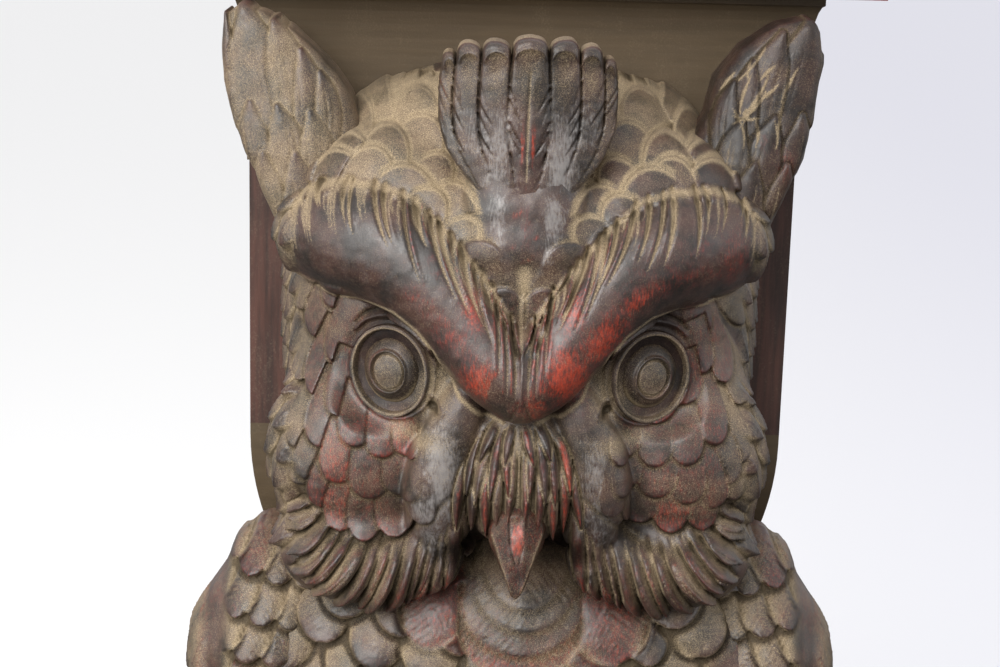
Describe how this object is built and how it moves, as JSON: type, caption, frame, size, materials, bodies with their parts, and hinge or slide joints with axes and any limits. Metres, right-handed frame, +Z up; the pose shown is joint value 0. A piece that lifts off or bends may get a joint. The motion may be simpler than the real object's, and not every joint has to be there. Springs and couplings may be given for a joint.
{
  "type": "owl figurine",
  "caption": "Carved wooden horned owl standing in front of a square pillar with a flared capital, a flat top board and a stepped square base.",
  "frame": {"origin": "centre of the square plinth's underside, on the floor", "axes": "+Z up; the owl faces -Y; +X to the right of someone who looks at the owl's face"},
  "size_m": [0.3, 0.3, 0.72],
  "materials": {
    "carved_wood": "dark stain worn through to red, dust in the carving",
    "eye_wood": "dark stain, satin",
    "stained_wood": "reddish brown stain, satin",
    "red_lacquered_wood": "red lacquer, worn",
    "tan_moulding_wood": "matt olive brown stain",
    "dowel_wood": "bare",
    "fixing_steel": "dull"
  },
  "bodies": {
    "root": {"top_board": "red_lacquered_wood", "capital_core": "stained_wood", "flare_front": "tan_moulding_wood", "flare_back": "tan_moulding_wood", "flare_left": "tan_moulding_wood", "flare_right": "tan_moulding_wood", "cavetto_front": "tan_moulding_wood", "cavetto_back": "tan_moulding_wood", "cavetto_left": "tan_moulding_wood", "cavetto_right": "tan_moulding_wood", "post": "stained_wood", "plinth": "stained_wood", "base_block": "stained_wood", "stand_board": "red_lacquered_wood", "foot_mould_front": "tan_moulding_wood", "foot_mould_back": "tan_moulding_wood", "foot_mould_left": "tan_moulding_wood", "foot_mould_right": "tan_moulding_wood", "owl_body": "carved_wood", "owl_head": "carved_wood", "ear_left": "carved_wood", "ear_right": "carved_wood", "crest": "carved_wood", "beak": "carved_wood", "eye_left": "eye_wood", "eye_right": "eye_wood", "wing_left": "carved_wood", "wing_right": "carved_wood", "tail": "carved_wood", "leg_left": "carved_wood", "leg_right": "carved_wood", "foot_left": "carved_wood", "foot_right": "carved_wood", "neck_dowels": "dowel_wood", "board_dowels": "dowel_wood", "owl_bolts": "fixing_steel", "plinth_screws": "fixing_steel"}
  },
  "joints": []
}
